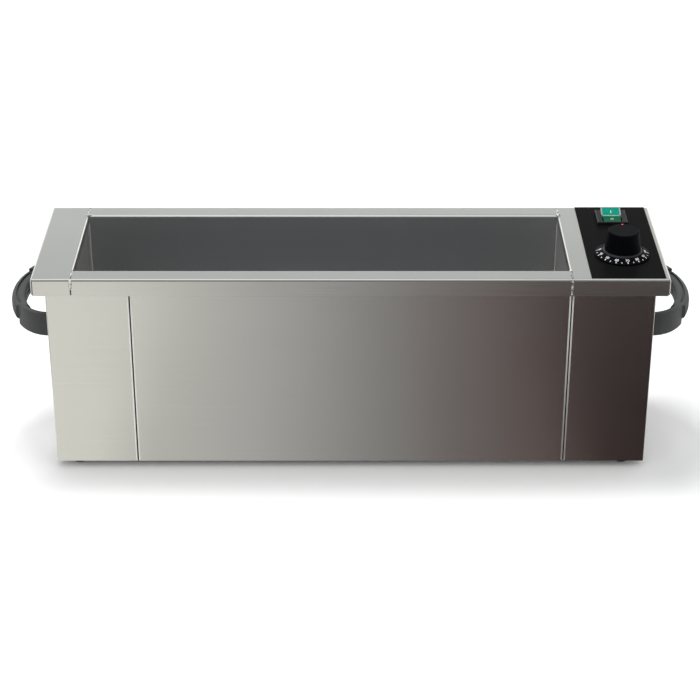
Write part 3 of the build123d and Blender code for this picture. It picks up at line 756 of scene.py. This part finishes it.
barShape = (rockerMarks["barSize"], rockerMarks["barRounding"])
ridgeShape = (rockerMarks["ridgeSize"], rockerMarks["ridgeRounding"])
ridgeReach = rockerMarks["ridgeSize"][1] / 2
rockerBar("rocker_on_mark", rockerMarks["barReach"], "switch_green", whitePrint, *barShape)
rockerBar("rocker_ridge", ridgeReach, "switch_clear", switchClear, *ridgeShape)
deselectAll()
bpy.ops.mesh.primitive_torus_add(
    location=crest - Vector((0, rockerMarks["ringReach"], 0)),
    major_radius=rockerMarks["ringRadius"],
    minor_radius=rockerMarks["ringThickness"],
    major_segments=40,
    minor_segments=8,
)
bpy.context.object.scale = (1, 1, rockerMarks["ringFlatness"])
finished(bpy.context.object, "rocker_off_mark", "rocker", whitePrint)
print("rocker marks ready")

# welds at the four rim seams and in the tank's upright corners
weld = {
    "pitch": 1.1 * mm,
    "rimWidth": 3.0 * mm,
    "rimHeight": {-1: 0.4 * mm, 1: 0.15 * mm},
    "apronWidth": {"left": 4.2 * mm, "right": 2.8 * mm},
    "apronHeight": 1.1 * mm,
    "cornerWidth": 1.7 * mm,
    "cornerHeight": 0.6 * mm,
    "blobWidth": {-1: 4.6 * mm, 1: 7.0 * mm},
    "blobHeight": {-1: 1.3 * mm, 1: 2.2 * mm},
    "edgeGap": 2.0 * mm,
    "apronLength": 22.0 * mm,
    "blobStart": 2.0 * mm,
    "blobOverlap": 0.5 * mm,
    "blobSink": 0.4 * mm,
    "lipDrop": 12.0 * mm,
    "roughness": 1.2 * mm,
    "dressedRoughness": 0.2 * mm,
    "rippleSize": 2.5 * mm,
}
tankLow, tankHigh = (Vector(corner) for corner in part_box("tank"))
plateHigh = Vector(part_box("left_rim_plate")[1])
lipLow = Vector(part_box("right_rim_plate")[0])
opening = {
    "left": plateHigh.x,
    "right": lipLow.x,
    "half": 85.0 * mm,
    "floor": tankLow.z + 1.0 * mm,
}
seamSlit = {
    "size": (1.7 * mm, 3.0 * mm, 10.0 * mm),
    "rounding": 0.05 * mm,
    "depth": 19.0 * mm,
    "weldEnd": 13.0 * mm,
    "darkPieceWidth": 2.4 * mm,
    "darkPieceHeight": 0.35 * mm,
    "darkPieceSink": 0.9 * mm,
    "darkPieceTop": 14.5 * mm,
    "darkPieceFoot": 22.0 * mm,
}
ripple = bpy.data.textures.new("weldRipple", "CLOUDS")
ripple.noise_scale = weld["rippleSize"]


def weldRun(start, end, facing, width, height, roughness=weld["roughness"]):
    # a row of overlapping flattened drops, made uneven
    along = Vector(end) - Vector(start)
    count = max(2, round(along.length / weld["pitch"]))
    sideways = Vector(facing).cross(along.normalized())
    axes = Matrix((along.normalized(), sideways, Vector(facing))).transposed()
    deselectAll()
    bpy.ops.mesh.primitive_uv_sphere_add(segments=10, ring_count=6, radius=1)
    piece = bpy.context.object
    piece.scale = (weld["pitch"], width / 2, height)
    applyPlace(piece)
    row = piece.modifiers.new("row", "ARRAY")
    row.count = count
    row.use_relative_offset = False
    row.use_constant_offset = True
    row.constant_offset_displace = (along.length / count, 0, 0)
    applyModifiers(piece)
    piece.rotation_euler = axes.to_euler()
    piece.location = start
    applyPlace(piece)
    uneven = piece.modifiers.new("uneven", "DISPLACE")
    uneven.texture = ripple
    uneven.texture_coords = "GLOBAL"
    uneven.strength = roughness
    applyModifiers(piece)
    return piece


rimTop = tankHigh.z
rimEdge = tankHigh.y
apronTopZ = rimTop - weld["edgeGap"]
blobZ = rimTop - weld["blobSink"]
cornerSize = (weld["cornerWidth"], weld["cornerHeight"], weld["dressedRoughness"])
rimRuns = []
cornerRuns = []
for seamX, wallX in ((tankLow.x, opening["left"]), (tankHigh.x, opening["right"])):
    for side in (-1, 1):
        cornerY = side * opening["half"]
        # along the top of the rim
        topEnd = (seamX, side * (rimEdge - weld["edgeGap"]), rimTop)
        topSize = (weld["rimWidth"], weld["rimHeight"][side])
        rimRuns.append(weldRun((seamX, cornerY, rimTop), topEnd, (0, 0, 1), *topSize))
        # down the apron, shorter where the seam's lower end is left open
        openEnd = seamX < 0 and side < 0
        apronLength = seamSlit["weldEnd"] if openEnd else weld["apronLength"]
        apronTop = (seamX, side * rimEdge, apronTopZ)
        apronEnd = (seamX, side * rimEdge, rimTop - apronLength)
        apronSize = (weld["apronWidth"]["left" if seamX < 0 else "right"], weld["apronHeight"])
        rimRuns.append(weldRun(apronTop, apronEnd, (0, side, 0), *apronSize))
        # blob at the opening's corner
        blobX = wallX if seamX < 0 and side > 0 else seamX
        blobStart = (blobX, side * (opening["half"] + weld["blobStart"]), blobZ)
        blobEnd = (blobX, side * (opening["half"] - weld["blobOverlap"]), blobZ)
        blobSize = (weld["blobWidth"][side], weld["blobHeight"][side])
        rimRuns.append(weldRun(blobStart, blobEnd, (0, 0, 1), *blobSize))
        # dressed weld up the tank's corner
        inward = Vector((-math.copysign(1, wallX), -side, 0)).normalized()
        foot = (wallX, cornerY, opening["floor"])
        head = (wallX, cornerY, rimTop - weld["lipDrop"])
        cornerRuns.append(weldRun(foot, head, inward, *cornerSize))
beads = joined(rimRuns)
cornerBeads = joined(cornerRuns)
finished(beads, "rim_weld_beads", "cabinet", weldSteel, roundAngle)
finished(cornerBeads, "tank_corner_welds", "cabinet", dressedWeld, roundAngle)

# the open end of the front left seam, and a dark metal piece set at the back of it
slit = roundedBar(seamSlit["size"], seamSlit["rounding"])
slit.location = (tankLow.x, -rimEdge, rimTop - seamSlit["depth"])
applyPlace(slit)
cutFrom(dressed["tank"], slit)
cutFrom(dressed["left_rim_plate"], slit)
removed(slit)
darkPieceY = -rimEdge + seamSlit["darkPieceSink"]
darkPieceStart = (tankLow.x, darkPieceY, rimTop - seamSlit["darkPieceTop"])
darkPieceEnd = (tankLow.x, darkPieceY, rimTop - seamSlit["darkPieceFoot"])
darkPieceSize = (seamSlit["darkPieceWidth"], seamSlit["darkPieceHeight"], weld["dressedRoughness"])
darkMetal = weldRun(darkPieceStart, darkPieceEnd, (0, -1, 0), *darkPieceSize)
finished(darkMetal, "seam_slit_dark_piece", "cabinet", darkSlitMetal, roundAngle)
print("welds ready")

# ribs round the outside of each grip and a groove cut along its inner side
grip = {
    "reach": 57.5 * mm,
    "halfSpan": 87.5 * mm,
    "thickness": 18.0 * mm,
    "halfLength": 47.0 * mm,
    "ribHeights": (200.5 * mm, 204.0 * mm, 207.5 * mm),
    "ribRadius": 0.9 * mm,
    "ribInset": 0.4 * mm,
    "slotHeight": 205.0 * mm,
    "slotRadius": 1.7 * mm,
    "slotDepth": 1.0 * mm,
    "sides": 160,
}


def gripLine(side, inset, height, radius):
    # round rod along the grip's bow, at an inset from its outer face
    casingLow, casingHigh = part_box("left_end_casing" if side < 0 else "right_end_casing")
    casing = Vector(casingLow if side < 0 else casingHigh)
    deselectAll()
    bpy.ops.mesh.primitive_circle_add(
        vertices=grip["sides"], radius=1, location=(casing.x, 0, height)
    )
    piece = bpy.context.object
    piece.scale = (grip["reach"] - inset, grip["halfSpan"] - inset, 1)
    applyPlace(piece)
    bpy.ops.object.mode_set(mode="EDIT")
    cuts = (
        ((casing.x, 0, 0), (-side, 0, 0)),
        ((0, grip["halfLength"], 0), (0, 1, 0)),
        ((0, -grip["halfLength"], 0), (0, -1, 0)),
    )
    for place, outwards in cuts:
        bpy.ops.mesh.select_all(action="SELECT")
        bpy.ops.mesh.bisect(plane_co=place, plane_no=outwards, clear_outer=True)
    bpy.ops.object.mode_set(mode="OBJECT")
    bpy.ops.object.convert(target="CURVE")
    bpy.context.object.data.bevel_depth = radius
    bpy.context.object.data.bevel_resolution = 3
    bpy.context.object.data.use_fill_caps = True
    bpy.ops.object.convert(target="MESH")
    return bpy.context.object


for side, label in ((-1, "left"), (1, "right")):
    ribs = []
    for height in grip["ribHeights"]:
        ribs.append(gripLine(side, grip["ribInset"], height, grip["ribRadius"]))
    ribsName = label + "_grip_ribs"
    finished(joined(ribs), ribsName, "cabinet", handlePlastic, roundAngle)
    slotInset = grip["thickness"] - grip["slotDepth"]
    groove = gripLine(side, slotInset, grip["slotHeight"], grip["slotRadius"])
    cutFrom(dressed[label + "_handle"], groove)
    removed(groove)
print("grips ready")

# bright strips on both sides of each upright joint, standing for the folded sheet's edges with a
# painted highlight
jointEdge = {
    "x": 279.0 * mm,
    "offset": 1.85 * mm,
    "size": (1.9 * mm, 0.7 * mm),
    "rounding": 0.33 * mm,
    "top": 257.0 * mm,
    "gap": 1.0 * mm,
}
panelLow = Vector(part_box("front_panel")[0])
edgeHeight = jointEdge["top"] - panelLow.z - 2 * jointEdge["gap"]
edgeMiddle = panelLow.z + jointEdge["gap"] + edgeHeight / 2
highlightStripPattern = roundedBar((*jointEdge["size"], edgeHeight), jointEdge["rounding"])
edges = []
for jointX in (-jointEdge["x"], jointEdge["x"]):
    for faceY in (panelLow.y, -panelLow.y):
        for away in (-jointEdge["offset"], jointEdge["offset"]):
            edges.append(copiedTo(highlightStripPattern, (jointX + away, faceY, edgeMiddle)))
removed(highlightStripPattern)
finished(joined(edges), "joint_highlight_strips", "cabinet", paintedHighlightSteel, roundAngle)

# dark strip down inside each joint: painted shade, a dark piece set where the deep gap is in
# shade
jointShadeStrip = {"size": (1.25 * mm, 0.8 * mm), "depth": 1.3 * mm, "rounding": 0.2 * mm}
shadeStripPattern = roundedBar((*jointShadeStrip["size"], edgeHeight), jointShadeStrip["rounding"])
shadeStrips = []
for jointX in (-jointEdge["x"], jointEdge["x"]):
    for side in (-1, 1):
        shadeStripY = side * (abs(panelLow.y) - jointShadeStrip["depth"])
        shadeStrips.append(copiedTo(shadeStripPattern, (jointX, shadeStripY, edgeMiddle)))
removed(shadeStripPattern)
finished(joined(shadeStrips), "joint_shade_strips", "cabinet", jointShadeBlack, roundAngle)
print("joint edges ready")

# cross recesses cut into the base screws' heads
crossRecess = {
    "x": (-350 * mm, -121 * mm, 121 * mm, 350 * mm),
    "y": (-92 * mm, 92 * mm),
    "arm": (3.6 * mm, 0.8 * mm, 2.0 * mm),
    "rounding": 0.1 * mm,
    "turn": 0.4,
}
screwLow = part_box("base_screws")[0][2]
armPattern = roundedBar(crossRecess["arm"], crossRecess["rounding"])
for quarter in (0, math.pi / 2):
    armTurn = (0, 0, crossRecess["turn"] + quarter)
    arms = []
    for x in crossRecess["x"]:
        for y in crossRecess["y"]:
            arms.append(copiedTo(armPattern, (x, y, screwLow), armTurn))
    cutters = joined(arms)
    applyPlace(cutters)
    cutFrom(dressed["base_screws"], cutters)
    removed(cutters)
removed(armPattern)
print("screws ready")

# floor, lights and camera
studio = {
    "floorSize": 14.0,
    "floorColour": (0.89, 0.89, 0.89),
    "floorRoughness": 0.9,
    "worldColour": (0.86, 0.87, 0.87),
    "worldStrength": 1.0,
    "softboxSize": 4.2,
    "softboxPlace": (-0.7, -0.6, 2.8),
    "topSize": 0.9,
    "topPlace": (-0.3, 0.35, 2.8),
    "energy": 50.0,
    "lightRatio": 0.75,
    "lightAim": (0, 0, 0.2),
}
camera = {
    "pitch": 27.82,
    "distance": 2.6451,
    "aimX": -0.0007,
    "aimZ": 0.1218,
    "lens": 102.08,
    "farEnd": 100,
}

deselectAll()
bpy.ops.mesh.primitive_plane_add(size=studio["floorSize"])
floor = bpy.context.object
floor.name = "floor"
floorMaterial, _, floorShader = newMaterial("floorPaper")
setShader(
    floorShader,
    {"Base Color": (*studio["floorColour"], 1), "Roughness": studio["floorRoughness"]},
)
floor.data.materials.append(floorMaterial)

world = bpy.data.worlds.new("studio")
bpy.context.scene.world = world
world.use_nodes = True
background = world.node_tree.nodes["Background"]
background.inputs["Color"].default_value = (*studio["worldColour"], 1)
background.inputs["Strength"].default_value = studio["worldStrength"]


def areaLight(name, place, size):
    deselectAll()
    bpy.ops.object.light_add(type="AREA", location=place)
    light = bpy.context.object
    light.name = name
    light.data.shape = "RECTANGLE"
    light.data.size = size
    light.data.size_y = size * studio["lightRatio"]
    light.data.energy = studio["energy"]
    towards = Vector(studio["lightAim"]) - light.location
    light.rotation_euler = towards.to_track_quat("-Z", "Y").to_euler()
    return light


# the softbox is only reflected, the top light lights and casts the shadow and isn't reflected
areaLight("softbox", studio["softboxPlace"], studio["softboxSize"]).visible_diffuse = False
areaLight("topLight", studio["topPlace"], studio["topSize"]).visible_glossy = False


def glowMaterial(name, strength):
    material = bpy.data.materials.new(name)
    material.use_nodes = True
    tree = material.node_tree
    tree.nodes.clear()
    output = addNode(tree, "ShaderNodeOutputMaterial")
    glow = addNode(tree, "ShaderNodeEmission", {"Strength": strength})
    tree.links.new(glow.outputs["Emission"], output.inputs["Surface"])
    return material, tree, glow


def glossCard(name, place, size, material, turn=(0, 0, 0)):
    # flat card that is seen only in glossy reflections
    deselectAll()
    bpy.ops.mesh.primitive_plane_add(size=1, location=place, rotation=turn)
    card = bpy.context.object
    card.name = name
    card.scale = (*size, 1)
    applyPlace(card)
    card.data.materials.append(material)
    card.visible_camera = False
    card.visible_diffuse = False
    card.visible_shadow = False
    card.visible_transmission = False


# card on the floor in front, light at its left end and dark and warm at its right
frontCard = {
    "places": (-0.66, -0.57, -0.45, -0.34, -0.26, -0.13, 0.0, 0.13, 0.25, 0.34, 0.42),
    "greys": (0.10, 1.06, 1.02, 0.96, 0.70, 0.56, 0.37, 0.225, 0.15, 0.055, 0.032),
    "near": 0.10,
    "depth": 2.0,
    "halfLength": 0.8,
    "lift": 0.002,
    "warmFrom": 0.02,
    "warmRun": 0.4,
    "warmLoss": (0.42, 0.44),
    "paleUpTo": -0.2,
    "paleLoss": 0.05,
}


def frontCardMaterial():
    material, tree, glow = glowMaterial("frontCard", 1.0)
    coordinates = addNode(tree, "ShaderNodeTexCoord")
    split = addNode(tree, "ShaderNodeSeparateXYZ")
    ramp = addNode(tree, "ShaderNodeValToRGB")
    low, high = frontCard["places"][0], frontCard["places"][-1]
    along = addNode(tree, "ShaderNodeMapRange", {"From Min": low, "From Max": high})
    elements = ramp.color_ramp.elements
    while len(elements) < len(frontCard["places"]):
        elements.new(0.5)
    greenLoss, blueLoss = frontCard["warmLoss"]
    for element, place, grey in zip(elements, frontCard["places"], frontCard["greys"]):
        warmth = min(1, max(0, (place - frontCard["warmFrom"]) / frontCard["warmRun"]))
        pale = frontCard["paleLoss"] if place < frontCard["paleUpTo"] else 0
        green = grey * (1 - greenLoss * warmth)
        blue = grey * (1 - pale - blueLoss * warmth)
        element.position = (place - low) / (high - low)
        element.color = (grey, green, blue, 1)
    tree.links.new(coordinates.outputs["Object"], split.inputs["Vector"])
    tree.links.new(split.outputs["X"], along.inputs["Value"])
    tree.links.new(along.outputs["Result"], ramp.inputs["Fac"])
    tree.links.new(ramp.outputs["Color"], glow.inputs["Color"])
    return material


glossCard(
    "frontCard",
    (0, -(frontCard["near"] + frontCard["depth"] / 2), frontCard["lift"]),
    (2 * frontCard["halfLength"], frontCard["depth"]),
    frontCardMaterial(),
)

# glow low behind the bath, which lights the rolled edges at both ends of the opening
backGlow = {
    "place": (0, 2.0, 0.62),
    "size": (3.4, 0.62),
    "turn": (math.pi / 2, 0, 0),
    "strength": 2.0,
}
backGlowMaterial = glowMaterial("backGlow", backGlow["strength"])[0]
glossCard("backGlow", backGlow["place"], backGlow["size"], backGlowMaterial, backGlow["turn"])

pitch = math.radians(camera["pitch"])
deselectAll()
bpy.ops.object.camera_add(
    location=(
        camera["aimX"],
        -camera["distance"] * math.cos(pitch),
        camera["aimZ"] + camera["distance"] * math.sin(pitch),
    ),
    rotation=(math.pi / 2 - pitch, 0, 0),
)
bpy.context.object.data.lens = camera["lens"]
bpy.context.object.data.clip_end = camera["farEnd"]
bpy.context.scene.camera = bpy.context.object
bpy.context.scene.view_settings.view_transform = "Standard"
print("studio ready")
